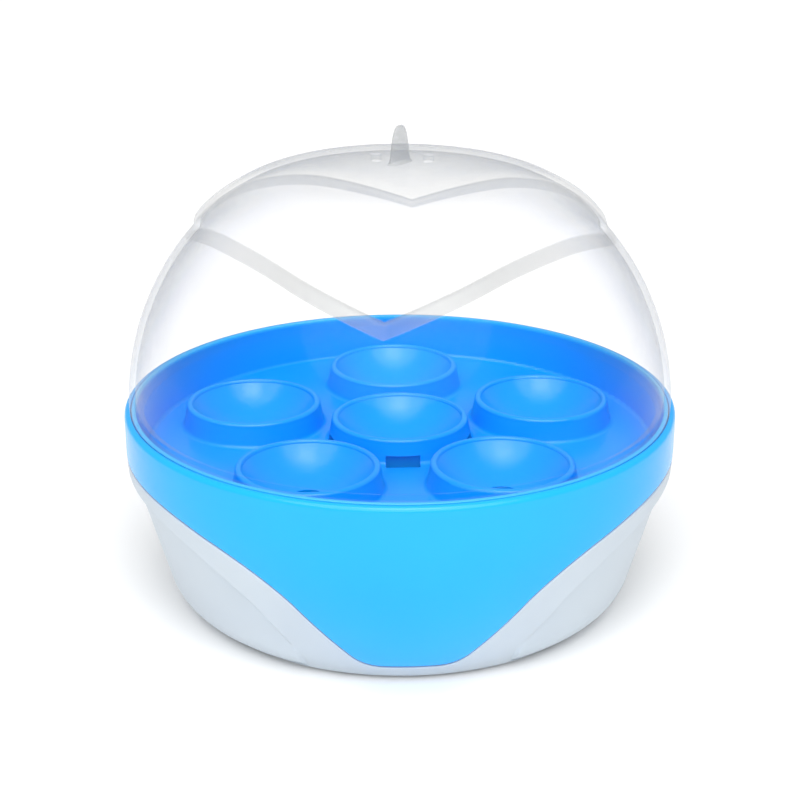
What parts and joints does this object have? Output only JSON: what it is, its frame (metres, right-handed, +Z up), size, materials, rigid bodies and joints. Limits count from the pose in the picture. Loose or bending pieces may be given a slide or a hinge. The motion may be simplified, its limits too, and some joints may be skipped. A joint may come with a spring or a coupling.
{
  "type": "egg cooker",
  "caption": "Dome-lidded electric egg cooker: clear two-step dome with a leaf knob, lift-out tray of egg cups, shield-fronted bowl base with heated water well.",
  "frame": {"origin": "middle of the base, on the table under the rubber feet", "axes": "+Z up, -Y out of the front shield, +Y out of the rear switch and cord gland, +X to the right seen from the front"},
  "size_m": [0.17, 0.17, 0.1471],
  "materials": {
    "clear_plastic": "clear moulded polystyrene, faintly frosted",
    "blue_plastic": "glossy sky-blue polypropylene",
    "white_plastic": "satin cool-white polypropylene",
    "well_sheet": "pressed stainless sheet, brushed",
    "seal_silicone": "translucent white silicone",
    "zinc_steel": "zinc-plated steel",
    "aluminium_plate": "rolled aluminium plate",
    "element_tube": "heat-stained sheathed tube",
    "black_phenolic": "black phenolic moulding",
    "sleeve_fabric": "woven fibreglass sleeve",
    "foot_rubber": "pale grey rubber",
    "ivory_nylon": "ivory nylon",
    "brass_parts": "stamped brass",
    "black_nylon": "black nylon",
    "rocker_plastic": "gloss black rocker",
    "gland_rubber": "pale grey PVC",
    "lead_brown": "brown silicone insulation",
    "lead_blue": "blue silicone insulation",
    "lead_white": "white silicone insulation"
  },
  "bodies": {
    "base": {"upper_housing": "blue_plastic", "lower_housing": "white_plastic", "water_well": "well_sheet", "well_seal": "seal_silicone", "clamp_ring": "zinc_steel", "stud_nuts": "zinc_steel", "heat_spreader": "aluminium_plate", "heating_element": "element_tube", "thermostat": "black_phenolic", "thermostat_bracket": "zinc_steel", "bracket_screws": "zinc_steel", "thermal_fuse": "sleeve_fabric", "fuse_clip": "zinc_steel", "bottom_cover": "white_plastic", "rubber_feet": "foot_rubber", "cover_screws": "zinc_steel", "terminal_block": "ivory_nylon", "terminal_clamps": "brass_parts", "switch_frame": "black_nylon", "cord_gland": "gland_rubber", "live_lead": "lead_brown", "neutral_lead": "lead_blue", "thermostat_lead": "lead_white", "fuse_lead": "lead_white", "element_lead": "lead_white"},
    "tray": {"egg_tray": "blue_plastic"},
    "lid": {"lid_dome": "clear_plastic", "lid_knob": "clear_plastic"},
    "rocker": {"switch_rocker": "rocker_plastic"}
  },
  "joints": [
    {"name": "tray_lift", "type": "slide", "parent": "base", "child": "tray", "axis": [0, 0, 1], "range_m": [0, 0.05]},
    {"name": "lid_lift", "type": "slide", "parent": "tray", "child": "lid", "axis": [0, 0, 1], "range_m": [0, 0.09]},
    {"name": "switch_press", "type": "hinge", "parent": "base", "child": "rocker", "pos_m": [0, 0.074, 0.027], "axis": [0, 0, 1], "range_deg": [0, 16]}
  ]
}
